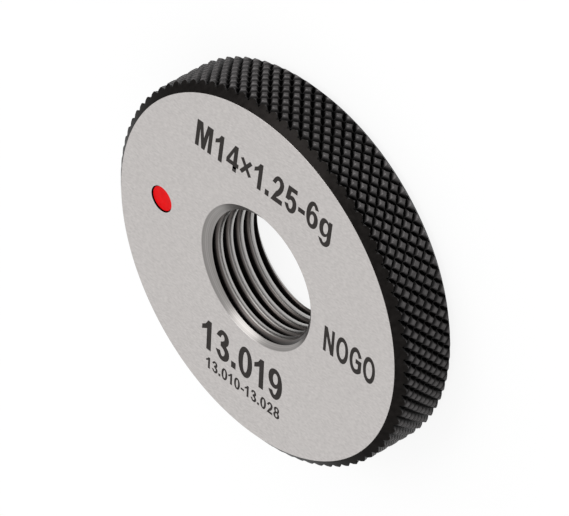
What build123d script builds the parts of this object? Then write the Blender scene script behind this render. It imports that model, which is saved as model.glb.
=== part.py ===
"""Thread ring gauge, the no-go member for an M14 x 1.25 external thread.

The gauge is one piece of hardened steel. It was turned to a disc, diamond knurled round the rim,
threaded through the middle, blackened and ground on both faces. A shallow round recess in the marked
face is filled with red enamel, which marks a no-go gauge.

Sizes are millimetres. The ring lies flat, as it would on a bench. The thread's axis is +Z and the
marked face is up. The origin is on the axis, in the plane of the lower face, and +X is the reading
direction of the marks.
"""

from build123d import *
import math
import os

# The turned disc. The bevel's reach is measured along the radius, its width along the axis.
ring_diameter = 38.0
ring_width = 6.7
bevel_reach = 0.95
bevel_width = 0.8

# The diamond knurl: two crossing sets of V grooves, cut down from the ring's diameter
knurl_count = 86
knurl_row_pitch = 1.32
knurl_depth = 0.42

# The thread, a right-hand 60 degree form. Its crests are cut back to a flat, and its roots stand
# clear of the checked thread's major diameter.
thread_pitch = 1.25
thread_flank_angle = 60.0
thread_pitch_diameter = 13.019
thread_crest_flat = 0.481
thread_root_flat = 0.047
thread_start_depth = 0.325

# The countersink at each end of the thread, whose edge stands outside the thread's roots
mouth_margin = 0.24
mouth_depth = 0.7

# The colour mark: a flat-bottomed recess and the enamel in it
marker_diameter = 2.7
marker_recess_depth = 0.4
marker_rim_distance = 5.35
marker_position_angle = 175.0
enamel_sink = 0.12
enamel_clearance = 0.01

# How far the ridge that cuts the thread reaches into the bore, so that the two cuts overlap
ridge_overlap = 0.2

# How far the bevels of the plain disc run on past the knurl's tips, so that its wall stays clear of them
bevel_overrun = 0.2

# Worked out from the sizes above
ring_radius = ring_diameter / 2
face_radius = ring_radius - bevel_reach
knurl_root_radius = ring_radius - knurl_depth
half_flank_angle = math.radians(thread_flank_angle / 2)
pitch_radius = thread_pitch_diameter / 2
crest_radius = pitch_radius - (thread_pitch / 2 - thread_crest_flat) / 2 / math.tan(half_flank_angle)
root_radius = pitch_radius + (thread_pitch / 2 - thread_root_flat) / 2 / math.tan(half_flank_angle)
mouth_radius = root_radius + mouth_margin
marker_position_radius = face_radius - marker_rim_distance

HANGING = (Align.CENTER, Align.CENTER, Align.MAX)
STANDING = (Align.CENTER, Align.CENTER, Align.MIN)


def rim_point(radius, steps, height):
    """A point at a radius and a height, counted in knurl steps round the axis."""
    angle = 2 * math.pi * steps / knurl_count
    return Vector(radius * math.cos(angle), radius * math.sin(angle), height)


def row_height(rows):
    """The height of a knurl row, counted in rows up from mid-width."""
    return ring_width / 2 + rows * knurl_row_pitch


def polygon_face(*corners):
    """A flat face with these corners."""
    return Face(Wire.make_polygon(corners, close=True))


def bevelled_disc():
    """The plain disc with its rim bevels, before it is bored, knurled and threaded.

    Each bevel is a ring of narrow flats, two to a knurl step, within 0.004 mm of a true cone.
    """
    outer_radius = ring_radius + bevel_overrun
    rise = bevel_width * (bevel_reach + bevel_overrun) / bevel_reach
    sections = [
        (face_radius, 0),
        (outer_radius, rise),
        (outer_radius, ring_width - rise),
        (face_radius, ring_width),
    ]
    rings = [
        [rim_point(radius, half_step / 2, height) for half_step in range(2 * knurl_count)]
        for radius, height in sections
    ]
    faces = [polygon_face(*rings[0]), polygon_face(*rings[-1])]
    for lower, upper in zip(rings, rings[1:]):
        for side in range(2 * knurl_count):
            following = (side + 1) % (2 * knurl_count)
            faces.append(polygon_face(lower[side], lower[following], upper[following], upper[side]))
    return Solid(Shell(faces))


def countersinks():
    """The cones that open the thread at both faces."""
    upper = Pos(0, 0, ring_width) * Cone(crest_radius, mouth_radius, mouth_depth, align=HANGING)
    lower = Cone(mouth_radius, crest_radius, mouth_depth, align=STANDING)
    return upper + lower


def pyramid_faces(steps, rows):
    """The four facets of one knurl pyramid. Its tip is on the rim, its base where the grooves meet."""
    tip = rim_point(ring_radius, steps, row_height(rows))
    base = [
        rim_point(knurl_root_radius, steps + 0.5, row_height(rows)),
        rim_point(knurl_root_radius, steps, row_height(rows + 0.5)),
        rim_point(knurl_root_radius, steps - 0.5, row_height(rows)),
        rim_point(knurl_root_radius, steps, row_height(rows - 0.5)),
    ]
    return [polygon_face(tip, first, second) for first, second in zip(base, base[1:] + base[:1])]


def end_faces(half_row, outward):
    """Facets that close the core from its last knurl row to a point on the axis.

    The row is counted in half rows from mid-width. Outward is 1 at the upper end, -1 at the lower.
    """
    rows = half_row / 2
    shift = 0.5 * (half_row % 2)
    apex = rim_point(0, 0, row_height(rows + 2 * outward))
    faces = []
    for step in range(knurl_count):
        side = rim_point(knurl_root_radius, step + shift - 0.5, row_height(rows))
        foot = rim_point(knurl_root_radius, step + shift, row_height(rows + 0.5 * outward))
        other = rim_point(knurl_root_radius, step + shift + 0.5, row_height(rows))
        faces += [polygon_face(apex, side, foot), polygon_face(apex, foot, other)]
    return faces


def knurled_core():
    """A faceted core that carries the diamond knurl over the full width and a little beyond."""
    last_half_row = math.ceil(ring_width / knurl_row_pitch)
    faces = end_faces(last_half_row, 1) + end_faces(-last_half_row, -1)
    for half_row in range(-last_half_row, last_half_row + 1):
        shift = 0.5 * (half_row % 2)
        for step in range(knurl_count):
            faces += pyramid_faces(step + shift, half_row / 2)
    return Solid(Shell(faces))


def thread_ridge(start, turns):
    """The helical ridge of a tap, which cuts the thread's V groove from the height start upwards."""
    inner_radius = crest_radius - ridge_overlap
    root_half = thread_root_flat / 2
    inner_half = root_half + (root_radius - inner_radius) * math.tan(half_flank_angle)
    outline = Polyline(
        (inner_radius, start - inner_half),
        (root_radius, start - root_half),
        (root_radius, start + root_half),
        (inner_radius, start + inner_half),
        close=True,
    )
    path = Helix(thread_pitch, turns * thread_pitch, pitch_radius, center=(0, 0, start))
    return sweep(Plane.XZ * make_face(outline), path=path, is_frenet=True)


def thread_tap():
    """The shape that the thread leaves free: its bore and its groove, longer than the ring is wide."""
    turns = math.ceil(ring_width / thread_pitch) + 2
    start = ring_width - thread_start_depth - (turns - 1) * thread_pitch
    core_length = (turns + 1) * thread_pitch
    core = Pos(0, 0, start - thread_pitch) * Cylinder(crest_radius, core_length, align=STANDING)
    return core + thread_ridge(start, turns)


def marker_place():
    """The centre of the colour mark, in the plane of the marked face."""
    angle = math.radians(marker_position_angle)
    across = marker_position_radius * math.cos(angle)
    along = marker_position_radius * math.sin(angle)
    return Pos(across, along, ring_width)


def gauge_ring():
    """The whole steel ring."""
    recess = marker_place() * Cylinder(marker_diameter / 2, marker_recess_depth, align=HANGING)
    threaded_disc = bevelled_disc() - countersinks() - thread_tap() - recess
    return threaded_disc & knurled_core()


def marker_dot():
    """The enamel fill, a little below the marked face."""
    radius = marker_diameter / 2 - enamel_clearance
    thickness = marker_recess_depth - enamel_sink
    return marker_place() * Pos(0, 0, -enamel_sink) * Cylinder(radius, thickness, align=HANGING)


os.makedirs("parts", exist_ok=True)
export_step(gauge_ring(), "parts/gauge_ring.step")
export_step(marker_dot(), "parts/marker_dot.step")
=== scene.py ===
"""Looks of a no-go thread ring gauge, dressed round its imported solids.

The real gauge is one piece of hardened steel: turned, diamond knurled, threaded, blackened and then
ground on both faces, with laser marks and a red enamel dot on the marked face. Shapes are worked out
in millimetres in the row's frame, with the thread's axis on +Z, and go to Blender in metres.
"""

import logging
import math
from dataclasses import dataclass
from enum import Enum

import bmesh
import bpy
import numpy as np
from mathutils import Matrix, Vector
from mathutils.geometry import tessellate_polygon


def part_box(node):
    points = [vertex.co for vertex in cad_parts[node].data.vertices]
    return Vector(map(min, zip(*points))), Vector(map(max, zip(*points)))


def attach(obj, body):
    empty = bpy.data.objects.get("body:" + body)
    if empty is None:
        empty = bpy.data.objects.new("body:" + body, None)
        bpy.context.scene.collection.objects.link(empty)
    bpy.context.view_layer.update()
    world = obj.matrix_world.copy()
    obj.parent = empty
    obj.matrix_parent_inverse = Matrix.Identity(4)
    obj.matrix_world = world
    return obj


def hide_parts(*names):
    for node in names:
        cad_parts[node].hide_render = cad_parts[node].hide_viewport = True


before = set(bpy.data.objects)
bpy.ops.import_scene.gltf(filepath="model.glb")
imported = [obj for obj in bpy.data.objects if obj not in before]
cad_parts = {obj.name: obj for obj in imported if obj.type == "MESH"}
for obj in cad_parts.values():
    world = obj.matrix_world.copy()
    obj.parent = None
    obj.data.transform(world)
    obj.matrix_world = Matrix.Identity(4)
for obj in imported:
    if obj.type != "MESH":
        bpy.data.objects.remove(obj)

log = logging.getLogger("ring_gauge")

MM = 0.001

# Turns at which an edge is shaded as sharp: inside one finish, and between two finishes
SHARP_TURN = math.radians(40)
SHARP_ZONE_TURN = math.radians(15)

# A smooth knot's handle as a share of the way to the next knot. 0.55 draws an ellipse, and a little
# more gives the fuller rounds of the gauge's characters.
ROUNDNESS = 0.58

# Sockets of a colour mix, which share their names with others: its share and its two colours
MIX_SHARE, MIX_FROM, MIX_TO = 0, 6, 7

# A radius and a height, or x and y, in millimetres
Point = tuple[float, float]
Profile = list[Point]


class Cut(Enum):
    """How one solid works on another."""

    TAKE_AWAY = "DIFFERENCE"
    KEEP_COMMON = "INTERSECT"


class Zone(Enum):
    """The differently finished zones of the steel ring, in the order of its material slots."""

    GROUND_FACE = 0
    BEVEL = 1
    KNURL = 2
    COUNTERSINK = 3
    THREAD = 4
    RECESS = 5


# Helpers for nodes and materials


def linear(hex_colour: str) -> tuple[float, float, float, float]:
    """Turns an sRGB hex colour into the linear colour that a shader takes.

    Args:
        hex_colour: A colour such as "#c8c4c1".

    Returns:
        Red, green, blue and an alpha of 1, linear.
    """
    parts = [int(hex_colour[at : at + 2], 16) / 255 for at in (1, 3, 5)]
    red, green, blue = (c / 12.92 if c <= 0.04045 else ((c + 0.055) / 1.055) ** 2.4 for c in parts)
    return red, green, blue, 1.0


def add_node(tree: bpy.types.NodeTree, kind: str, settings: dict, inputs: dict) -> bpy.types.Node:
    """Adds a node to a tree, sets its properties and fills its inputs.

    Args:
        tree: The node tree that takes it.
        kind: The node's type name.
        settings: Its properties by name.
        inputs: Values for its input sockets by name or number, or output sockets to link from.

    Returns:
        The new node.
    """
    node = tree.nodes.new(kind)
    for name, value in settings.items():
        setattr(node, name, value)
    for name, value in inputs.items():
        if isinstance(value, bpy.types.NodeSocket):
            tree.links.new(value, node.inputs[name])
        else:
            node.inputs[name].default_value = value
    return node


def new_material(name: str) -> tuple[bpy.types.Material, bpy.types.NodeTree]:
    """Makes a material with an empty node tree.

    Args:
        name: The material's name.

    Returns:
        The material and its node tree.
    """
    material = bpy.data.materials.new(name)
    material.use_nodes = True
    material.node_tree.nodes.clear()
    return material, material.node_tree


def axis_distance(tree: bpy.types.NodeTree) -> bpy.types.NodeSocket:
    """Measures how far each point of a surface lies from the thread's axis.

    Args:
        tree: The node tree of a material.

    Returns:
        The distance, in metres.
    """
    place = add_node(tree, "ShaderNodeTexCoord", {}, {})
    across = add_node(tree, "ShaderNodeMapping", {}, {"Vector": place.outputs["Object"], "Scale": (1, 1, 0)})
    radius = add_node(tree, "ShaderNodeVectorMath", {"operation": "LENGTH"}, {0: across.outputs[0]})
    return radius.outputs["Value"]


def patches(tree: bpy.types.NodeTree, size_mm: float, detail: float) -> bpy.types.NodeSocket:
    """Makes soft uneven patches.

    Args:
        tree: The node tree of a material.
        size_mm: Real size of a patch.
        detail: How many times finer patches are laid over them.

    Returns:
        A value round 0.5 at each point.
    """
    place = add_node(tree, "ShaderNodeTexCoord", {}, {})
    noise = add_node(
        tree,
        "ShaderNodeTexNoise",
        {},
        {"Vector": place.outputs["Object"], "Scale": 1 / (size_mm * MM), "Detail": detail},
    )
    return noise.outputs["Fac"]


def short_lines(
    tree: bpy.types.NodeTree, length_mm: float, width_mm: float, turn_deg: float, detail: float
) -> bpy.types.NodeSocket:
    """Makes short uneven lines along +X, such as a grinding wheel leaves.

    Args:
        tree: The node tree of a material.
        length_mm: Real length of a line.
        width_mm: Real width of a line.
        turn_deg: How far the noise behind the lines is turned, while they stay along +X.
        detail: How many times finer lines are laid over them.

    Returns:
        A value round 0.5 at each point.
    """
    place = add_node(tree, "ShaderNodeTexCoord", {}, {})
    along = add_node(
        tree,
        "ShaderNodeMapping",
        {},
        {
            "Vector": place.outputs["Object"],
            "Rotation": (0, 0, math.radians(-turn_deg)),
            "Scale": (1 / (length_mm * MM), 1 / (width_mm * MM), 1 / MM),
        },
    )
    noise = add_node(
        tree, "ShaderNodeTexNoise", {}, {"Vector": along.outputs["Vector"], "Scale": 1.0, "Detail": detail}
    )
    return noise.outputs["Fac"]


def tinted(
    tree: bpy.types.NodeTree,
    colour: str,
    pattern: bpy.types.NodeSocket,
    span: tuple[float, float],
    shares: tuple[float, float],
) -> bpy.types.NodeSocket:
    """Darkens and lightens a colour along a pattern.

    Args:
        tree: The node tree of a material.
        colour: The colour, as sRGB hex.
        pattern: The pattern's value at each point.
        span: The two values of the pattern at which the two shares are reached.
        shares: What the colour is multiplied by at those values.

    Returns:
        The colour at each point.
    """
    share = add_node(
        tree,
        "ShaderNodeMapRange",
        {},
        {
            "Value": pattern,
            "From Min": span[0],
            "From Max": span[1],
            "To Min": shares[0],
            "To Max": shares[1],
        },
    )
    shade = add_node(
        tree,
        "ShaderNodeMix",
        {"data_type": "RGBA", "blend_type": "MULTIPLY"},
        {MIX_SHARE: 1.0, MIX_FROM: linear(colour), MIX_TO: share.outputs[0]},
    )
    return shade.outputs[2]


def shaded(material: bpy.types.Material, tree: bpy.types.NodeTree, inputs: dict) -> bpy.types.Material:
    """Ends a material's tree with its surface shader and the output.

    Args:
        material: The material.
        tree: Its node tree.
        inputs: The shader's inputs by name.

    Returns:
        The finished material.
    """
    surface = add_node(tree, "ShaderNodeBsdfPrincipled", {}, inputs)
    add_node(tree, "ShaderNodeOutputMaterial", {}, {"Surface": surface.outputs[0]})
    return material


# Helpers for meshes


def mesh_object(name: str, points: np.ndarray, faces: list) -> bpy.types.Object:
    """Makes an object from points in millimetres, with its faces turned outwards.

    Args:
        name: The object's name.
        points: One row of x, y and z for each vertex.
        faces: Vertex numbers of each face.

    Returns:
        The object, still in millimetres.
    """
    mesh = bpy.data.meshes.new(name)
    mesh.from_pydata([tuple(point) for point in points], [], faces)
    shell = bmesh.new()
    shell.from_mesh(mesh)
    bmesh.ops.recalc_face_normals(shell, faces=shell.faces)
    shell.to_mesh(mesh)
    shell.free()
    piece = bpy.data.objects.new(name, mesh)
    bpy.context.scene.collection.objects.link(piece)
    return piece


def keep_evaluated(piece: bpy.types.Object) -> None:
    """Replaces an object's mesh by the one that its modifiers make, and drops the modifiers.

    Args:
        piece: The object.
    """
    graph = bpy.context.evaluated_depsgraph_get()
    shaped = bpy.data.meshes.new_from_object(piece.evaluated_get(graph))
    spent = piece.data
    piece.modifiers.clear()
    piece.data = shaped
    bpy.data.meshes.remove(spent)


def work_on(body: bpy.types.Object, tool: bpy.types.Object, cut: Cut) -> None:
    """Cuts a closed mesh by another one, which is used up.

    Args:
        body: The mesh that is cut.
        tool: The mesh that cuts it.
        cut: Whether the tool's space is taken away or kept.
    """
    modifier = body.modifiers.new("cut", "BOOLEAN")
    modifier.operation = cut.value
    modifier.solver = "MANIFOLD"
    modifier.object = tool
    bpy.context.view_layer.update()
    keep_evaluated(body)
    bpy.data.objects.remove(tool)


def eased_corner(before: Point, corner: Point, after: Point, radius: float, steps: int) -> Profile:
    """Rounds one corner of a profile.

    Args:
        before: The profile's point before the corner.
        corner: The corner itself.
        after: The profile's point after it.
        radius: Radius of the rounding.
        steps: How many straight steps the arc has.

    Returns:
        The arc's points, which take the corner's place.
    """
    middle = np.array(corner, float)
    to_before = np.array(before, float) - middle
    to_after = np.array(after, float) - middle
    to_before /= np.linalg.norm(to_before)
    to_after /= np.linalg.norm(to_after)
    half = math.acos(float(np.clip(to_before @ to_after, -1, 1))) / 2
    bisector = (to_before + to_after) / np.linalg.norm(to_before + to_after)
    centre = middle + bisector * radius / math.sin(half)
    start = middle + to_before * radius / math.tan(half) - centre
    end = middle + to_after * radius / math.tan(half) - centre
    turn = math.pi - 2 * half
    arc = []
    for step in range(steps + 1):
        share = step / steps
        arm = (start * math.sin((1 - share) * turn) + end * math.sin(share * turn)) / math.sin(turn)
        arc.append(tuple(float(value) for value in centre + arm))
    return arc


def circle(place: Point, radius: float, columns: int) -> Profile:
    """Gives the points of a circle, anticlockwise from +X.

    Args:
        place: Its centre.
        radius: Its radius.
        columns: How many points it has.

    Returns:
        The points, in the unit of the radius.
    """
    angles = 2 * math.pi * np.arange(columns) / columns
    return [(place[0] + radius * math.cos(angle), place[1] + radius * math.sin(angle)) for angle in angles]


def lathe(name: str, profile: Profile, columns: int) -> bpy.types.Object:
    """Turns a closed profile of radius and height round the axis.

    Args:
        name: The object's name.
        profile: Points of radius and height, anticlockwise, none of them on the axis.
        columns: How many columns go round.

    Returns:
        The closed ring that the profile sweeps, in millimetres.
    """
    angles = 2 * math.pi * np.arange(columns) / columns
    radii, heights = np.array(profile).T
    points = np.stack(
        [
            np.outer(np.cos(angles), radii),
            np.outer(np.sin(angles), radii),
            np.outer(np.ones(columns), heights),
        ],
        axis=-1,
    ).reshape(-1, 3)
    rows = len(profile)
    faces = []
    for column in range(columns):
        here, there = column * rows, (column + 1) % columns * rows
        for row in range(rows):
            above = (row + 1) % rows
            faces.append((here + row, there + row, there + above, here + above))
    return mesh_object(name, points, faces)


def prism(name: str, outline: Profile, low: float, high: float) -> bpy.types.Object:
    """Makes an upright prism over an outline.

    Args:
        name: The object's name.
        outline: Points of the outline, anticlockwise.
        low: Height of its lower end.
        high: Height of its upper end.

    Returns:
        The closed prism, in millimetres.
    """
    count = len(outline)
    points = [(x, y, low) for x, y in outline] + [(x, y, high) for x, y in outline]
    faces = [tuple(reversed(range(count))), tuple(range(count, 2 * count))]
    for side in range(count):
        following = (side + 1) % count
        faces.append((side, following, count + following, count + side))
    return mesh_object(name, np.array(points), faces)


def shade_crisp(piece: bpy.types.Object, zone: np.ndarray) -> None:
    """Shades a mesh smooth with sharp edges where its faces turn, and evens its normals.

    Args:
        piece: The object.
        zone: The zone of each face. An edge between two zones is sharp at a smaller turn.
    """
    mesh = piece.data
    mesh.shade_smooth()
    shell = bmesh.new()
    shell.from_mesh(mesh)
    shell.faces.ensure_lookup_table()
    for edge in shell.edges:
        if len(edge.link_faces) == 2:
            one, other = edge.link_faces
            limit = SHARP_TURN if zone[one.index] == zone[other.index] else SHARP_ZONE_TURN
            edge.smooth = one.normal.angle(other.normal, 0) < limit
    shell.to_mesh(mesh)
    shell.free()
    evened = piece.modifiers.new("evened", "WEIGHTED_NORMAL")
    evened.keep_sharp = True
    bpy.context.view_layer.update()
    keep_evaluated(piece)


def to_metres(piece: bpy.types.Object) -> None:
    """Turns a mesh that was made in millimetres to metres."""
    piece.data.transform(Matrix.Scale(MM, 4))


# Finishes


@dataclass(frozen=True)
class GroundGaugeSteel:
    """Hardened gauge steel, surface ground: a pale, warm, satin metal with short fine grinding lines."""

    name: str = "ground_gauge_steel"
    colour: str = "#c1bdbb"
    roughness: float = 0.42
    roughness_change: float = 0.03
    grain_length_mm: float = 0.35
    grain_width_mm: float = 0.13
    grain_turn_deg: float = 32.0
    grain_relief_mm: float = 0.002
    cloud_mm: float = 6.0

    def make(self) -> bpy.types.Material:
        """Builds the material.

        Returns:
            The material, ready for a piece.
        """
        material, tree = new_material(self.name)
        # The wheel's scratches on a ground face are a few microns wide. They are drawn coarser, as
        # fine as shows at this picture's scale.
        grain = short_lines(tree, self.grain_length_mm, self.grain_width_mm, self.grain_turn_deg, 3.0)
        rough = add_node(
            tree,
            "ShaderNodeMapRange",
            {},
            {
                "Value": patches(tree, self.cloud_mm, 2.0),
                "From Min": 0.3,
                "From Max": 0.7,
                "To Min": self.roughness - self.roughness_change,
                "To Max": self.roughness + self.roughness_change,
            },
        )
        relief = add_node(
            tree,
            "ShaderNodeBump",
            {},
            {"Strength": 0.25, "Distance": self.grain_relief_mm * MM, "Height": grain},
        )
        return shaded(
            material,
            tree,
            {
                "Base Color": tinted(tree, self.colour, grain, (0.25, 0.75), (0.86, 1.12)),
                "Metallic": 1.0,
                "Roughness": rough.outputs[0],
                "Normal": relief.outputs[0],
            },
        )


@dataclass(frozen=True)
class BlackOxideSteel:
    """Steel blackened in hot alkaline salts: a thin satin oxide, deep black where nothing rubs it.

    On the knurl, the tips are lighter, partly where handling rubs the oxide and partly as a painted
    highlight, and the valleys are darker as painted shade. The shares say what the colour is
    multiplied by in the valleys and on the tips, at those distances from the axis.
    """

    name: str = "black_oxide_steel"
    colour: str = "#1d1b1a"
    edge_tint: str = "#c0c0c0"
    roughness: float = 0.36
    mottle_mm: float = 0.5
    valley_mm: float = 18.6
    tip_mm: float = 18.98
    valley_painted_shade_share: float = 1.0
    tip_wear_and_highlight_share: float = 1.0

    def make(self) -> bpy.types.Material:
        """Builds the material.

        Returns:
            The material, ready for a piece.
        """
        material, tree = new_material(self.name)
        mottle = patches(tree, self.mottle_mm, 3.0)
        tint = add_node(
            tree,
            "ShaderNodeMapRange",
            {},
            {"Value": mottle, "From Min": 0.3, "From Max": 0.7, "To Min": 0.75, "To Max": 1.25},
        )
        # Painted shade in the knurl's valleys, and rubbed oxide with a painted highlight on its tips, by
        # distance from the axis
        worn_and_lit = add_node(
            tree,
            "ShaderNodeMapRange",
            {"interpolation_type": "SMOOTHSTEP"},
            {
                "Value": axis_distance(tree),
                "From Min": self.valley_mm * MM,
                "From Max": self.tip_mm * MM,
                "To Min": self.valley_painted_shade_share,
                "To Max": self.tip_wear_and_highlight_share,
            },
        )
        mottled_wear_and_light = add_node(
            tree, "ShaderNodeMath", {"operation": "MULTIPLY"}, {0: tint.outputs[0], 1: worn_and_lit.outputs[0]}
        )
        shade = add_node(
            tree,
            "ShaderNodeMix",
            {"data_type": "RGBA", "blend_type": "MULTIPLY"},
            {MIX_SHARE: 1.0, MIX_FROM: linear(self.colour), MIX_TO: mottled_wear_and_light.outputs[0]},
        )
        rough = add_node(
            tree,
            "ShaderNodeMapRange",
            {},
            {
                "Value": mottle,
                "From Min": 0.3,
                "From Max": 0.7,
                "To Min": self.roughness - 0.04,
                "To Max": self.roughness + 0.05,
            },
        )
        return shaded(
            material,
            tree,
            {
                "Base Color": shade.outputs[2],
                "Metallic": 1.0,
                "Roughness": rough.outputs[0],
                "Specular Tint": linear(self.edge_tint),
            },
        )


@dataclass(frozen=True)
class TurnedSteel:
    """Bright steel as a countersinking tool leaves it: fine rings round the bore."""

    name: str = "turned_steel"
    colour: str = "#8f8c8a"
    roughness: float = 0.28
    ring_mm: float = 0.1
    ring_relief_mm: float = 0.003

    def make(self) -> bpy.types.Material:
        """Builds the material.

        Returns:
            The material, ready for a piece.
        """
        material, tree = new_material(self.name)
        # The tool's rings are a few hundredths of a millimetre apart, drawn coarser to show at all
        rings = add_node(
            tree,
            "ShaderNodeTexNoise",
            {"noise_dimensions": "1D"},
            {"W": axis_distance(tree), "Scale": 1 / (self.ring_mm * MM), "Detail": 2.0},
        )
        relief = add_node(
            tree,
            "ShaderNodeBump",
            {},
            {"Strength": 0.4, "Distance": self.ring_relief_mm * MM, "Height": rings.outputs["Fac"]},
        )
        return shaded(
            material,
            tree,
            {
                "Base Color": tinted(tree, self.colour, rings.outputs["Fac"], (0.3, 0.7), (0.82, 1.12)),
                "Metallic": 1.0,
                "Roughness": self.roughness,
                "Normal": relief.outputs[0],
            },
        )


@dataclass(frozen=True)
class GroundThreadSteel:
    """A thread ground in hardened steel: bright crests, and brown preserving oil in the grooves.

    The colour darkens from the crest through brown to near black at the root. The darkening is painted shade
    standing for the dark reflections deep in the grooves, and the brown tints it like preserving oil.
    """

    name: str = "ground_thread_steel"
    colour: str = "#b2b0ae"
    flank_oil_and_shade_colour: str = "#4f4845"
    root_painted_shade_colour: str = "#171311"
    roughness: float = 0.3
    crest_mm: float = 6.386
    flank_mm: float = 6.5
    root_mm: float = 6.76
    oil_weight: float = 0.6
    oil_roughness: float = 0.25
    oil_ior: float = 1.47

    def make(self) -> bpy.types.Material:
        """Builds the material.

        Returns:
            The material, ready for a piece.
        """
        material, tree = new_material(self.name)
        radius = axis_distance(tree)
        shade = linear(self.colour)
        # Painted shade: the colour darkens from crest through flank to root, tinted brown like oil
        for start_mm, end_mm, colour in (
            (self.crest_mm, self.flank_mm, self.flank_oil_and_shade_colour),
            (self.flank_mm, self.root_mm, self.root_painted_shade_colour),
        ):
            share = add_node(
                tree,
                "ShaderNodeMapRange",
                {},
                {"Value": radius, "From Min": start_mm * MM, "From Max": end_mm * MM},
            )
            mix = add_node(
                tree,
                "ShaderNodeMix",
                {"data_type": "RGBA"},
                {MIX_SHARE: share.outputs[0], MIX_FROM: shade, MIX_TO: linear(colour)},
            )
            shade = mix.outputs[2]
        return shaded(
            material,
            tree,
            {
                "Base Color": shade,
                "Metallic": 1.0,
                "Roughness": self.roughness,
                "Coat Weight": self.oil_weight,
                "Coat Roughness": self.oil_roughness,
                "Coat IOR": self.oil_ior,
            },
        )


@dataclass(frozen=True)
class RedEnamel:
    """Air-drying red enamel, run into the recess from a brush: bright, satin and a little uneven."""

    name: str = "red_enamel"
    colour: str = "#d80409"
    roughness: float = 0.4
    ripple_mm: float = 0.9
    ripple_relief_mm: float = 0.02

    def make(self) -> bpy.types.Material:
        """Builds the material.

        Returns:
            The material, ready for a piece.
        """
        material, tree = new_material(self.name)
        ripple = patches(tree, self.ripple_mm, 1.0)
        relief = add_node(
            tree,
            "ShaderNodeBump",
            {},
            {"Strength": 0.4, "Distance": self.ripple_relief_mm * MM, "Height": ripple},
        )
        return shaded(
            material,
            tree,
            {
                "Base Color": tinted(tree, self.colour, ripple, (0.3, 0.7), (0.9, 1.05)),
                "Metallic": 0.0,
                "Roughness": self.roughness,
                "IOR": 1.5,
                "Specular IOR Level": 0.05,
                "Normal": relief.outputs[0],
            },
        )


@dataclass(frozen=True)
class LaserMark:
    """Steel darkened by a marking laser: a matt brown-black oxide, a little uneven from its lines."""

    name: str = "laser_mark"
    colour: str = "#2e2a28"
    roughness: float = 0.5
    line_length_mm: float = 0.3
    line_width_mm: float = 0.09

    def make(self) -> bpy.types.Material:
        """Builds the material.

        Returns:
            The material, ready for a piece.
        """
        material, tree = new_material(self.name)
        # The laser's lines are a few hundredths of a millimetre apart, drawn coarser to show at all
        burns = short_lines(tree, self.line_length_mm, self.line_width_mm, 0.0, 2.0)
        return shaded(
            material,
            tree,
            {
                "Base Color": tinted(tree, self.colour, burns, (0.25, 0.75), (0.75, 1.3)),
                "Metallic": 1.0,
                "Roughness": self.roughness,
            },
        )


# Characters of the laser marks

# Each knot of an outline is x and y in letter heights. A third number makes it smooth and gives the
# way the outline runs there, in degrees. Outer outlines run anticlockwise, holes clockwise.
Outline = list[tuple[float, ...]]


@dataclass(frozen=True)
class Letter:
    """One engraver's character: its outlines, and how far on the next one stands."""

    advance: float
    outlines: tuple[Outline, ...]

    def turned(self) -> "Letter":
        """Turns the character upside down, as a six turns into a nine.

        Returns:
            The turned character.
        """
        width = max(knot[0] for knot in self.outlines[0])
        turned = tuple(
            [(width - knot[0], 1 - knot[1], *(way + 180 for way in knot[2:])) for knot in outline]
            for outline in self.outlines
        )
        return Letter(self.advance, turned)


def oval(left: float, low: float, right: float, high: float, hole: bool) -> Outline:
    """Gives the four knots of an oval.

    Args:
        left: Its left end.
        low: Its lowest level.
        right: Its right end.
        high: Its highest level.
        hole: Whether it is a hole, which runs clockwise.

    Returns:
        The oval's knots.
    """
    across, up = (left + right) / 2, (low + high) / 2
    knots = [(across, low, 0.0), (right, up, 90.0), (across, high, 180.0), (left, up, 270.0)]
    return [(x, y, way + 180) for x, y, way in reversed(knots)] if hole else knots


SIX = Letter(
    0.57,
    (
        [
            (0.25, -0.02, 0), (0.5, 0.325, 90), (0.29, 0.655, 180), (0.165, 0.585), (0.265, 0.86, 0),
            (0.34, 0.745), (0.485, 0.77), (0.275, 1.02, 180), (0, 0.49, 270),
        ],
        oval(0.165, 0.14, 0.335, 0.505, hole=True),
    ),
)

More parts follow.
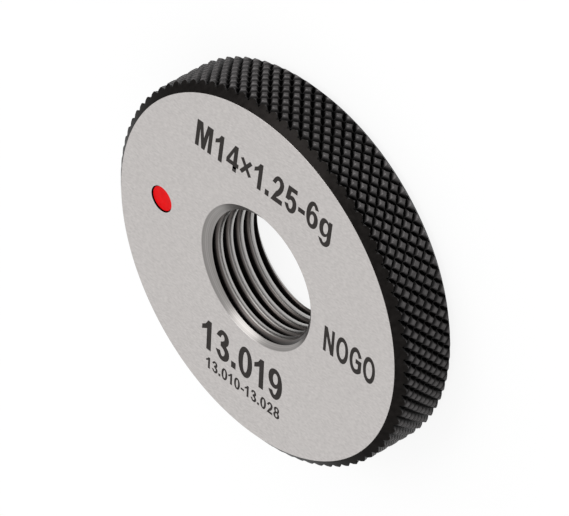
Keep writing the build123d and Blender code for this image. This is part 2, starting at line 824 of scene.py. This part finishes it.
LETTERS = {
    "0": Letter(
        0.57,
        (
            oval(0, -0.02, 0.5, 1.02, hole=False),
            oval(0.165, 0.15, 0.335, 0.85, hole=True),
        ),
    ),
    "1": Letter(
        0.515,
        (
            [
                (0.18, 0), (0.345, 0), (0.345, 1), (0.215, 1), (0.13, 0.84), (0, 0.745), (0, 0.585),
                (0.18, 0.7),
            ],
        ),
    ),
    "2": Letter(
        0.57,
        (
            [
                (0, 0), (0.485, 0), (0.485, 0.19), (0.22, 0.19), (0.49, 0.74, 90), (0.245, 1.02, 180),
                (0, 0.69), (0.145, 0.67), (0.24, 0.845, 0), (0.32, 0.72, 270), (0.19, 0.42),
            ],
        ),
    ),
    "3": Letter(
        0.57,
        (
            [
                (0, 0.265), (0.24, -0.02, 0), (0.495, 0.285, 90), (0.375, 0.53), (0.465, 0.75, 90),
                (0.24, 1.02, 180), (0.01, 0.745), (0.16, 0.72), (0.235, 0.86, 0), (0.3, 0.735, 270),
                (0.17, 0.6), (0.17, 0.455), (0.325, 0.29, 270), (0.24, 0.14, 180), (0.16, 0.29),
            ],
        ),
    ),
    "4": Letter(
        0.57,
        (
            [
                (0.285, 0), (0.445, 0), (0.445, 0.2), (0.52, 0.2), (0.52, 0.365), (0.445, 0.365),
                (0.445, 1), (0.3, 1), (0, 0.36), (0, 0.2), (0.285, 0.2),
            ],
            [(0.135, 0.365), (0.285, 0.72), (0.285, 0.365)],
        ),
    ),
    "5": Letter(
        0.57,
        (
            [
                (0, 0.26), (0.245, -0.02, 0), (0.495, 0.33, 90), (0.29, 0.66, 180), (0.215, 0.635),
                (0.235, 0.8), (0.475, 0.8), (0.475, 0.975), (0.095, 0.975), (0.02, 0.43), (0.16, 0.41),
                (0.245, 0.475, 0), (0.33, 0.325, 270), (0.245, 0.14, 180), (0.16, 0.285),
            ],
        ),
    ),
    "6": SIX,
    "8": Letter(
        0.57,
        (
            [
                (0.25, -0.02, 0), (0.505, 0.275, 90), (0.395, 0.53), (0.475, 0.75, 90),
                (0.25, 1.02, 180), (0.025, 0.75, 270), (0.105, 0.53), (-0.005, 0.275, 270),
            ],
            oval(0.165, 0.13, 0.335, 0.45, hole=True),
            oval(0.185, 0.6, 0.315, 0.87, hole=True),
        ),
    ),
    "9": SIX.turned(),
    ".": Letter(
        0.25,
        (
            [(0, 0), (0.165, 0), (0.165, 0.22), (0, 0.22)],
        ),
    ),
    "-": Letter(
        0.335,
        (
            [(0, 0.26), (0.285, 0.26), (0.285, 0.44), (0, 0.44)],
        ),
    ),
    "×": Letter(
        0.59,
        (
            [
                (0.333, 0.48), (0.5, 0.717), (0.388, 0.795), (0.25, 0.6), (0.112, 0.795), (0, 0.717),
                (0.167, 0.48), (0, 0.243), (0.112, 0.165), (0.25, 0.36), (0.388, 0.165), (0.5, 0.243),
            ],
        ),
    ),
    "M": Letter(
        0.81,
        (
            [
                (0, 0), (0.158, 0), (0.158, 0.68), (0.275, 0), (0.415, 0), (0.532, 0.68), (0.532, 0),
                (0.69, 0), (0.69, 1), (0.445, 1), (0.345, 0.45), (0.245, 1), (0, 1),
            ],
        ),
    ),
    "g": Letter(
        0.59,
        (
            [
                (0.513, 0.685), (0.365, 0.685), (0.365, 0.61), (0.2, 0.705, 180), (0, 0.35, 270),
                (0.2, 0, 0), (0.352, 0.09), (0.352, -0.05), (0.245, -0.2, 180), (0.165, -0.115),
                (0.01, -0.1), (0.245, -0.345, 0), (0.513, -0.03, 90),
            ],
            oval(0.165, 0.14, 0.36, 0.56, hole=True),
        ),
    ),
    "N": Letter(
        0.55,
        (
            [
                (0, 0), (0.12, 0), (0.12, 0.62), (0.32, 0), (0.455, 0), (0.455, 1), (0.335, 1),
                (0.335, 0.4), (0.14, 1), (0, 1),
            ],
        ),
    ),
    "O": Letter(
        0.588,
        (
            oval(0, -0.02, 0.52, 1.02, hole=False),
            oval(0.128, 0.165, 0.392, 0.84, hole=True),
        ),
    ),
    "G": Letter(
        0.588,
        (
            [
                (0.265, -0.02, 0), (0.515, 0.15), (0.515, 0.575), (0.26, 0.575), (0.26, 0.4),
                (0.372, 0.4), (0.372, 0.235), (0.27, 0.165, 180), (0.128, 0.5, 90), (0.27, 0.84, 0),
                (0.375, 0.66), (0.51, 0.725), (0.27, 1.02, 180), (0, 0.5, 270),
            ],
        ),
    ),
}


def traced(outline: Outline, steps: int) -> Profile:
    """Follows an outline through its knots, round where they are smooth.

    Args:
        outline: The outline's knots.
        steps: How many straight steps a round stretch has.

    Returns:
        Points along the closed outline.
    """
    points = []
    for knot, following in zip(outline, outline[1:] + outline[:1]):
        start, end = Vector(knot[:2]), Vector(following[:2])
        if len(knot) == 2 and len(following) == 2:
            points.append(tuple(start))
            continue
        handles = []
        for at, way, side in ((start, knot[2:], 1), (end, following[2:], -1)):
            handle = at.copy()
            if way:
                tangent = Vector((math.cos(math.radians(way[0])), math.sin(math.radians(way[0]))))
                handle += side * tangent * ROUNDNESS * abs(tangent.dot(end - start))
            handles.append(handle)
        for step in range(steps):
            part = step / steps
            rest = 1 - part
            point = start * rest**3 + 3 * handles[0] * rest**2 * part
            point += 3 * handles[1] * rest * part**2 + end * part**3
            points.append(tuple(point))
    return points


# Pieces of the gauge


@dataclass
class FaceMark:
    """One line of laser marks on the face, burnt in by a few hundredths of a millimetre.

    Its place and height are millimetres. The lean is how far right an upright runs for its height.
    """

    name: str
    words: str
    left: float
    baseline: float
    height: float
    lean: float = 0.0
    stretch: float = 1.0
    round_steps: int = 8

    def outlines(self) -> list[list[Profile]]:
        """Places the outlines of every character, each with its holes after it, in millimetres.

        Returns:
            For each character a list of its outlines.
        """
        placed, at = [], 0.0
        for character in self.words:
            letter = LETTERS[character]
            placed.append(
                [
                    [
                        (
                            self.left + self.height * (self.stretch * (at + x) + self.lean * y),
                            self.baseline + self.height * y,
                        )
                        for x, y in traced(outline, self.round_steps)
                    ]
                    for outline in letter.outlines
                ]
            )
            at += letter.advance
        return placed

    def solid(self, low: float, high: float) -> bpy.types.Object:
        """Makes one closed upright solid over all the characters.

        Args:
            low: Height of its lower end.
            high: Height of its upper end.

        Returns:
            The solid, in millimetres.
        """
        points, faces = [], []
        for outlines in self.outlines():
            base = len(points)
            flat = [point for outline in outlines for point in outline]
            points += [(x, y, low) for x, y in flat] + [(x, y, high) for x, y in flat]
            for corners in tessellate_polygon([[(x, y, 0) for x, y in outline] for outline in outlines]):
                faces.append([base + corner for corner in corners])
                faces.append([base + len(flat) + corner for corner in reversed(corners)])
            start = base
            for outline in outlines:
                for side in range(len(outline)):
                    one, other = start + side, start + (side + 1) % len(outline)
                    faces.append((one, other, other + len(flat), one + len(flat)))
                start += len(outline)
        return mesh_object(self.name, np.array(points), faces)

    def build(self, floor: float, top: float, finish: bpy.types.Material) -> bpy.types.Object:
        """Makes the burnt layer and dresses it.

        Args:
            floor: Height of the mark's underside.
            top: Height of the mark's surface.
            finish: The material of the mark.

        Returns:
            The finished piece, in metres.
        """
        mark = self.solid(floor, top)
        mark.data.materials.append(finish)
        shade_crisp(mark, np.zeros(len(mark.data.polygons)))
        to_metres(mark)
        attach(mark, "root")
        return mark


def face_marks() -> tuple[FaceMark, ...]:
    """Lists the lines of marks: the thread's designation, the no-go sign and two plain sizes.

    Returns:
        The lines of marks.
    """
    return (
        FaceMark("mark_designation", "M14×1.25-6g", -8.6, 10.08, 3.05, lean=0.09, stretch=1.005),
        FaceMark("mark_nogo", "NOGO", 8.96, -2.54, 2.91, lean=0.03, stretch=1.02),
        FaceMark("mark_pitch_diameter", "13.019", -6.7, -12.2, 3.4, stretch=1.08),
        FaceMark("mark_pitch_limits", "13.010-13.028", -6.0, -14.3, 1.3, stretch=1.2),
    )


@dataclass
class GaugeRing:
    """The steel ring: a disc with bevels, a diamond knurl, a countersunk thread and a marker recess.

    Its lengths are millimetres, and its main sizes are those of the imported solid.
    """

    outer_radius: float
    width: float
    bevel_reach: float = 0.95
    bevel_width: float = 0.8
    face_ease: float = 0.07
    ease_steps: int = 3
    columns_per_diamond: int = 6

    # The knurl is a little shallower than the solid's, and its tips are small flats, as the photo
    # shows. A flat is a share of the way from a tip to a valley. The worn and lit share is the part of
    # the depth over which the colour goes from painted shade in the valleys to lighter tips, which are
    # partly rubbed oxide and partly a painted highlight.
    knurl_count: int = 86
    knurl_row_pitch: float = 1.32
    knurl_depth: float = 0.34
    tip_flat: float = 0.26
    tip_roundness: float = 1.15
    worn_and_lit_share: float = 0.7

    # A right-hand thread whose crests are cut back to a flat. The crest's upper edge is rounded far
    # more than its lower one, as the soft highlights in the photo show.
    thread_pitch: float = 1.25
    flank_angle_deg: float = 60.0
    thread_pitch_radius: float = 6.5095
    crest_flat: float = 0.481
    root_flat: float = 0.047
    start_depth: float = 0.325
    upper_ease: float = 0.48
    upper_ease_steps: int = 7
    lower_ease: float = 0.02
    root_ease: float = 0.015
    thread_columns: int = 288
    spare_turns: int = 4

    mouth_margin: float = 0.24
    mouth_depth: float = 0.7
    mouth_ease: float = 0.03

    marker_radius: float = 1.35
    marker_depth: float = 0.4
    marker_place: Point = (-12.652, 1.107)
    marker_columns: int = 72

    # The burnt layer of each mark lies in a pocket, a hair clear of its floor and below the face
    marks: tuple[FaceMark, ...] = ()
    mark_depth: float = 0.04
    mark_clearance: float = 0.002
    mark_sink: float = 0.006

    # How far the cutting shapes reach past what they cut
    overrun: float = 0.3

    def face_radius(self) -> float:
        """Radius of the flat faces, inside the bevels."""
        return self.outer_radius - self.bevel_reach

    def flank_slope(self) -> float:
        """Height that a thread flank gains for each unit of radius."""
        return math.tan(math.radians(self.flank_angle_deg / 2))

    def crest_radius(self) -> float:
        """Radius of the thread's crests, which is the clear bore."""
        return self.thread_pitch_radius - (self.thread_pitch / 2 - self.crest_flat) / 2 / self.flank_slope()

    def root_radius(self) -> float:
        """Radius of the thread's roots."""
        return self.thread_pitch_radius + (self.thread_pitch / 2 - self.root_flat) / 2 / self.flank_slope()

    def mouth_radius(self) -> float:
        """Radius of the countersinks at the faces."""
        return self.root_radius() + self.mouth_margin

    def mouth_slope(self) -> float:
        """Radius that a countersink loses for each unit of depth."""
        return (self.mouth_radius() - self.crest_radius()) / self.mouth_depth

    def mark_levels(self) -> tuple[float, float]:
        """Heights of the underside and the surface of the marks' burnt layer."""
        return self.width - self.mark_depth + self.mark_clearance, self.width - self.mark_sink

    def blank(self) -> bpy.types.Object:
        """Makes the turned disc with its bevels, countersinks and a small first bore.

        Returns:
            The closed disc, in millimetres.
        """
        first_bore = self.crest_radius() - self.overrun
        reach = self.outer_radius + self.overrun
        rise = self.bevel_width * (self.bevel_reach + self.overrun) / self.bevel_reach
        depth = (self.mouth_radius() - first_bore) / self.mouth_slope()
        low_bore, low_mouth = (first_bore, depth), (self.mouth_radius(), 0.0)
        low_rim, low_edge = (self.face_radius(), 0.0), (reach, rise)
        top_edge, top_rim = (reach, self.width - rise), (self.face_radius(), self.width)
        top_mouth, top_bore = (self.mouth_radius(), self.width), (first_bore, self.width - depth)
        profile = [low_bore]
        profile += eased_corner(low_bore, low_mouth, low_rim, self.mouth_ease, self.ease_steps)
        profile += eased_corner(low_mouth, low_rim, low_edge, self.face_ease, self.ease_steps)
        profile += [low_edge, top_edge]
        profile += eased_corner(top_edge, top_rim, top_mouth, self.face_ease, self.ease_steps)
        profile += eased_corner(top_rim, top_mouth, top_bore, self.mouth_ease, self.ease_steps)
        profile += [top_bore]
        return lathe("gauge_ring_body", profile, self.columns_per_diamond * self.knurl_count)

    def knurl_height(self, x: float, y: float) -> float:
        """Height of the knurl over its roots, as a share of its depth.

        Args:
            x: Place round the rim, in half knurl steps.
            y: Place up the rim from mid-width, in half rows.

        Returns:
            0 at a valley and 1 on the small flat that is left of each tip.
        """
        whole_x, whole_y = round(x), round(y)
        across, along = abs(x - whole_x), abs(y - whole_y)
        from_tip = across + along if (whole_x + whole_y) % 2 == 0 else 1 - abs(across - along)
        return 1 - (max(0.0, from_tip - self.tip_flat) / (1 - self.tip_flat)) ** self.tip_roundness

    def knurled_core(self) -> bpy.types.Object:
        """Makes a core that carries the knurl over the full width and beyond.

        Grid lines run along every ridge and at steps between them. The valleys run along the
        diagonals of the cells that the ridges enclose.

        Returns:
            The closed core, in millimetres.
        """
        # In each half step: the ridge, the edge of a flat, midway, and the edge of the next flat
        stops = (0.0, self.tip_flat, 0.5, 1 - self.tip_flat)
        half_rows = math.ceil(self.width / self.knurl_row_pitch) + 1
        around = [half + stop for half in range(2 * self.knurl_count) for stop in stops]
        upward = [half + stop for half in range(-half_rows, half_rows) for stop in stops]
        upward.append(float(half_rows))
        points, faces = [], []
        for x in around:
            angle = math.pi * x / self.knurl_count
            for y in upward:
                radius = self.outer_radius - self.knurl_depth * (1 - self.knurl_height(x, y))
                height = self.width / 2 + y * self.knurl_row_pitch / 2
                points.append((radius * math.cos(angle), radius * math.sin(angle), height))
        rows, columns = len(upward), len(around)
        for column, x in enumerate(around):
            here, there = column * rows, (column + 1) % columns * rows
            for row, y in enumerate(upward[:-1]):
                low_here, low_there = here + row, there + row
                top_here, top_there = low_here + 1, low_there + 1
                if (math.floor(x) + math.floor(y)) % 2 == 0:
                    faces += [(low_here, low_there, top_here), (low_there, top_there, top_here)]
                else:
                    faces += [(low_here, low_there, top_there), (low_here, top_there, top_here)]
        # A fan from the axis closes each end
        low, top = len(points), len(points) + 1
        points += [(0, 0, self.width / 2 - half_rows * self.knurl_row_pitch / 2)]
        points += [(0, 0, self.width / 2 + half_rows * self.knurl_row_pitch / 2)]
        for column in range(columns):
            here, there = column * rows, (column + 1) % columns * rows
            faces += [(low, there, here), (top, here + rows - 1, there + rows - 1)]
        return mesh_object("knurled_core", np.array(points), faces)

    def groove_profile(self) -> Profile:
        """One pitch of the thread, as heights from a crest's middle and radii, with eased edges.

        Returns:
            Points of height and radius, from one crest's middle up to just short of the next.
        """
        half = self.thread_pitch / 2
        crest, root = self.crest_radius(), self.root_radius()
        low_crest = (self.crest_flat / 2, crest)
        low_root = (half - self.root_flat / 2, root)
        top_root = (half + self.root_flat / 2, root)
        top_crest = (self.thread_pitch - self.crest_flat / 2, crest)
        start, end = (0.0, crest), (self.thread_pitch, crest)
        profile = [start]
        profile += eased_corner(start, low_crest, low_root, self.upper_ease, self.upper_ease_steps)
        profile += eased_corner(low_crest, low_root, top_root, self.root_ease, 1)
        profile += eased_corner(low_root, top_root, top_crest, self.root_ease, 1)
        profile += eased_corner(top_root, top_crest, end, self.lower_ease, 1)
        return profile

    def tap(self) -> bpy.types.Object:
        """Makes the closed screw that cuts the bore and the thread, longer than the ring is wide.

        Returns:
            The closed screw, in millimetres.
        """
        profile = self.groove_profile()
        step, columns = len(profile), self.thread_columns
        turns = math.ceil(self.width / self.thread_pitch) + self.spare_turns
        rows = turns * step
        # On +X a groove's middle lies start_depth under the marked face, with half the spare turns over it
        turns_under = turns - self.spare_turns / 2 - 0.5
        start = self.width - self.start_depth - self.thread_pitch * turns_under
        points, faces = [], []
        for column in range(columns):
            share = column / columns
            angle = 2 * math.pi * share
            for row in range(rows):
                height, radius = profile[row % step]
                height += start + self.thread_pitch * (share + row // step)
                points.append((radius * math.cos(angle), radius * math.sin(angle), height))
        # Each column meets the next one row by row. The last meets the first one turn higher up.
        for column in range(columns):
            here = column * rows
            there = here + rows if column < columns - 1 else step
            for row in range(rows - 1 if column < columns - 1 else rows - 1 - step):
                faces.append((here + row, there + row, there + row + 1, here + row + 1))
        # Both ends are closed by a fan from the axis over the last turn and the step in it
        last, top = (columns - 1) * rows, rows - 1
        low_rim = [column * rows for column in range(columns)] + list(range(step, 0, -1))
        top_rim = [column * rows + top for column in range(columns - 1)]
        top_rim += [last + row for row in range(top, top - step - 1, -1)]
        for rim, height in ((low_rim, start), (top_rim, start + turns * self.thread_pitch)):
            points.append((0, 0, height))
            faces += [(len(points) - 1, one, other) for one, other in zip(rim, rim[1:] + rim[:1])]
        return mesh_object("thread_tap", np.array(points), faces)

    def recess_tool(self) -> bpy.types.Object:
        """Makes the plug that cuts the marker's recess."""
        outline = circle(self.marker_place, self.marker_radius, self.marker_columns)
        return prism("recess_tool", outline, self.width - self.marker_depth, self.width + self.overrun)

    def zones(self, mesh: bpy.types.Mesh) -> np.ndarray:
        """Finds which zone each face of the finished ring belongs to, from its place and direction.

        Args:
            mesh: The ring's mesh, in millimetres.

        Returns:
            The number of each face's zone.
        """
        count = len(mesh.polygons)
        centres, normals = np.empty(count * 3), np.empty(count * 3)
        mesh.polygons.foreach_get("center", centres)
        mesh.polygons.foreach_get("normal", normals)
        centres, normals = centres.reshape(-1, 3), normals.reshape(-1, 3)
        radius = np.hypot(centres[:, 0], centres[:, 1])
        outward = (centres[:, :2] * normals[:, :2]).sum(1) / radius
        depth = np.minimum(centres[:, 2], self.width - centres[:, 2])
        off_marker = np.hypot(centres[:, 0] - self.marker_place[0], centres[:, 1] - self.marker_place[1])
        bevel_normal = np.array([self.bevel_width, self.bevel_reach]) / math.hypot(
            self.bevel_width, self.bevel_reach
        )
        off_mouth = np.abs(self.mouth_radius() - depth * self.mouth_slope() - radius)
        upright = np.abs(normals[:, 2])
        # How far a face may be off a shape that it belongs to, in millimetres
        hair, off_cone, skin, slack, knurl_slack = 0.001, 0.004, 0.005, 0.01, 0.1
        # How far its direction may be off a bevel's, and how upright a flat face's direction is
        off_direction, level = 0.02, 0.99
        zone = np.full(count, Zone.GROUND_FACE.value)
        on_bevel = np.abs(outward - bevel_normal[0]) + np.abs(upright - bevel_normal[1]) < off_direction
        zone[(radius > self.face_radius()) & on_bevel] = Zone.BEVEL.value
        valley_radius = self.outer_radius - self.knurl_depth
        zone[(radius > valley_radius - knurl_slack) & ~on_bevel] = Zone.KNURL.value
        bore = (radius < self.mouth_radius() + hair) & (upright < level)
        zone[bore] = Zone.THREAD.value
        in_mouth = (off_mouth < off_cone) & (depth < self.mouth_depth + slack)
        zone[bore & in_mouth] = Zone.COUNTERSINK.value
        recess_floor = self.width - self.marker_depth
        sunk = (depth > skin) & (centres[:, 2] < self.width - skin) & (centres[:, 2] > recess_floor - slack)
        zone[sunk & (off_marker < self.marker_radius + slack)] = Zone.RECESS.value
        return zone

    def finishes(self) -> dict[Zone, bpy.types.Material]:
        """Makes the material of each zone.

        Returns:
            The zones' materials, in the order of the ring's slots.
        """
        oxide = BlackOxideSteel().make()
        # Painted shade darkens the knurl's valleys, and a painted highlight with rubbed oxide lightens its
        # tips
        worn_and_lit_oxide = BlackOxideSteel(
            name="worn_and_lit_black_oxide_steel",
            colour="#232222",
            roughness=0.28,
            valley_mm=self.outer_radius - self.worn_and_lit_share * self.knurl_depth,
            tip_mm=self.outer_radius,
            valley_painted_shade_share=0.7,
            tip_wear_and_highlight_share=4.8,
        )
        return {
            Zone.GROUND_FACE: GroundGaugeSteel().make(),
            Zone.BEVEL: oxide,
            Zone.KNURL: worn_and_lit_oxide.make(),
            Zone.COUNTERSINK: TurnedSteel().make(),
            Zone.THREAD: GroundThreadSteel().make(),
            Zone.RECESS: oxide,
        }

    def build(self) -> bpy.types.Object:
        """Makes the whole ring and dresses it.

        Returns:
            The finished ring, in metres.
        """
        ring = self.blank()
        work_on(ring, self.knurled_core(), Cut.KEEP_COMMON)
        work_on(ring, self.tap(), Cut.TAKE_AWAY)
        work_on(ring, self.recess_tool(), Cut.TAKE_AWAY)
        for mark in self.marks:
            pocket = mark.solid(self.width - self.mark_depth, self.width + self.overrun)
            work_on(ring, pocket, Cut.TAKE_AWAY)
        zone = self.zones(ring.data)
        ring.data.materials.clear()
        for material in self.finishes().values():
            ring.data.materials.append(material)
        ring.data.polygons.foreach_set("material_index", zone.astype(np.int32))
        shade_crisp(ring, zone)
        to_metres(ring)
        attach(ring, "root")
        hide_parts("gauge_ring")
        return ring


@dataclass
class EnamelDot:
    """The red enamel in the recess, raised a little at its edge, which dried clear of the black wall.

    Its lengths are millimetres. The edge power says how close to the edge the enamel starts to rise.
    """

    place: Point
    radius: float
    low: float
    high: float
    meniscus: float = 0.03
    drawn_in: float = 0.1
    edge_power: int = 6
    rings: int = 10
    columns: int = 72

    def build(self) -> bpy.types.Object:
        """Makes the dot and dresses it.

        Returns:
            The finished dot, in metres.
        """
        edge = self.radius - self.drawn_in
        levels = [(edge, self.low)]
        for ring in range(self.rings):
            share = 1 - ring / self.rings
            levels.append((edge * share, self.high - self.meniscus * (1 - share**self.edge_power)))
        # The middles of the underside and of the surface come first, then one ring of points a level
        points = [(0.0, 0.0, self.low), (0.0, 0.0, self.high - self.meniscus)]
        for radius, height in levels:
            points += [(x, y, height) for x, y in circle((0.0, 0.0), radius, self.columns)]
        first, inner = 2, 2 + (len(levels) - 1) * self.columns
        faces = []
        for column in range(self.columns):
            following = (column + 1) % self.columns
            for here in range(first, inner, self.columns):
                above = here + self.columns
                faces.append((here + column, here + following, above + following, above + column))
            faces += [(0, first + following, first + column), (1, inner + column, inner + following)]
        dot = mesh_object("marker_enamel", np.array(points) + (*self.place, 0), faces)
        dot.data.materials.append(RedEnamel().make())
        shade_crisp(dot, np.zeros(len(dot.data.polygons)))
        to_metres(dot)
        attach(dot, "root")
        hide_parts("marker_dot")
        return dot


# The studio


@dataclass(frozen=True)
class Lamp:
    """A soft rectangular lamp that faces the ring. Its lengths are metres, and a radiance of 1 is white."""

    name: str
    toward: tuple[float, float, float]
    width: float
    height: float
    radiance: float
    distance: float = 0.8

    def build(self) -> bpy.types.Object:
        """Makes the lamp and turns it to the ring.

        Returns:
            The lamp.
        """
        data = bpy.data.lights.new(self.name, "AREA")
        data.shape = "RECTANGLE"
        data.size = self.width
        data.size_y = self.height
        data.energy = self.radiance * math.pi * self.width * self.height
        lamp = bpy.data.objects.new(self.name, data)
        bpy.context.scene.collection.objects.link(lamp)
        direction = Vector(self.toward).normalized()
        lamp.location = direction * self.distance
        lamp.rotation_mode = "QUATERNION"
        lamp.rotation_quaternion = direction.to_track_quat("Z", "Y")
        return lamp


@dataclass
class Studio:
    """A pale floor, soft lamps and the camera at the photograph's viewing angle.

    The floor's radius and the camera's nearest and farthest distances are metres.
    """

    camera_place_mm: tuple[float, float, float] = (457.11, 533.26, 448.24)
    camera_right: tuple[float, float, float] = (0.67491, 0.03649, -0.73700)
    camera_up: tuple[float, float, float] = (-0.49197, 0.76665, -0.41257)
    camera_reach: tuple[float, float] = (0.05, 20.0)
    lens_mm: float = 588.7
    sensor_mm: float = 36.0
    floor_radius: float = 3.0
    floor_columns: int = 96
    floor_colour: str = "#f7f7f7"
    floor_glow: float = 0.88
    daylight: float = 0.88

    def camera(self) -> bpy.types.Object:
        """Places the camera as the photograph's was, fitted to the ring's size.

        Returns:
            The camera.
        """
        lens = bpy.data.cameras.new("photo_camera")
        lens.lens = self.lens_mm
        lens.sensor_width = self.sensor_mm
        lens.clip_start, lens.clip_end = self.camera_reach
        camera = bpy.data.objects.new("photo_camera", lens)
        bpy.context.scene.collection.objects.link(camera)
        right, up = Vector(self.camera_right).normalized(), Vector(self.camera_up).normalized()
        turned = Matrix((right, up, right.cross(up))).transposed().to_4x4()
        camera.matrix_world = Matrix.Translation(Vector(self.camera_place_mm) * MM) @ turned
        bpy.context.scene.camera = camera
        return camera

    def seen_rays(self, tree: bpy.types.NodeTree) -> bpy.types.NodeSocket:
        """Finds the rays that see a surface straight on, in a mirror or through glass.

        Args:
            tree: The node tree of a material or a world.

        Returns:
            1 for such a ray and 0 for any other.
        """
        path = add_node(tree, "ShaderNodeLightPath", {}, {})
        seen = path.outputs["Is Camera Ray"]
        for ray in ("Is Glossy Ray", "Is Transmission Ray"):
            either = add_node(
                tree, "ShaderNodeMath", {"operation": "MAXIMUM"}, {0: seen, 1: path.outputs[ray]}
            )
            seen = either.outputs[0]
        return seen

    def floor(self) -> bpy.types.Object:
        """Makes the round pale floor, which looks nearly white and keeps a soft shadow.

        Returns:
            The floor.
        """
        mesh = bpy.data.meshes.new("floor")
        rim = [(x, y, 0.0) for x, y in circle((0.0, 0.0), self.floor_radius, self.floor_columns)]
        mesh.from_pydata(rim, [], [tuple(range(self.floor_columns))])
        floor = bpy.data.objects.new("floor", mesh)
        bpy.context.scene.collection.objects.link(floor)
        material, tree = new_material("pale_floor")
        matt = add_node(tree, "ShaderNodeBsdfDiffuse", {}, {"Color": linear(self.floor_colour)})
        glow = add_node(tree, "ShaderNodeEmission", {}, {"Color": (1, 1, 1, 1), "Strength": 1.0})
        share = add_node(
            tree, "ShaderNodeMath", {"operation": "MULTIPLY"}, {0: self.seen_rays(tree), 1: self.floor_glow}
        )
        both = add_node(
            tree, "ShaderNodeMixShader", {}, {0: share.outputs[0], 1: matt.outputs[0], 2: glow.outputs[0]}
        )
        add_node(tree, "ShaderNodeOutputMaterial", {}, {"Surface": both.outputs[0]})
        floor.data.materials.append(material)
        return floor

    def sky(self) -> None:
        """Sets a plain even world, white where it is seen or mirrored."""
        world = bpy.data.worlds.new("studio")
        bpy.context.scene.world = world
        world.use_nodes = True
        tree = world.node_tree
        tree.nodes.clear()
        strength = add_node(
            tree, "ShaderNodeMapRange", {}, {"Value": self.seen_rays(tree), "To Min": self.daylight}
        )
        air = add_node(
            tree, "ShaderNodeBackground", {}, {"Color": (1, 1, 1, 1), "Strength": strength.outputs[0]}
        )
        add_node(tree, "ShaderNodeOutputWorld", {}, {"Surface": air.outputs[0]})

    def lamps(self) -> None:
        """Lights the knurled rim from the side, and the countersink and the thread from above."""
        Lamp("rim_lamp", toward=(-0.28, 0.9, 0.33), width=1.2, height=0.32, radiance=1.7).build()
        Lamp("mouth_lamp", toward=(-0.33, 0.43, 0.84), width=0.45, height=0.4, radiance=2.6).build()

    def build(self) -> None:
        """Builds the whole studio."""
        self.camera()
        self.floor()
        self.sky()
        self.lamps()
        bpy.context.scene.view_settings.view_transform = "Standard"


def main() -> None:
    """Builds every piece in order."""
    logging.basicConfig(level=logging.INFO, format="%(name)s: %(message)s")
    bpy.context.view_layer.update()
    low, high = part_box("gauge_ring")
    marks = face_marks()
    ring = GaugeRing(outer_radius=high.x / MM, width=high.z / MM, marks=marks)
    pieces = [ring.build()]
    burnt = LaserMark().make()
    for mark in marks:
        pieces.append(mark.build(*ring.mark_levels(), burnt))
    dot_low, dot_high = (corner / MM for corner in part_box("marker_dot"))
    dot = EnamelDot(
        place=((dot_low.x + dot_high.x) / 2, (dot_low.y + dot_high.y) / 2),
        radius=(dot_high.x - dot_low.x) / 2,
        low=dot_low.z,
        high=dot_high.z,
    )
    pieces.append(dot.build())
    for piece in pieces:
        log.info("%s has %d faces", piece.name, len(piece.data.polygons))
    Studio().build()


if __name__ == "__main__":
    main()
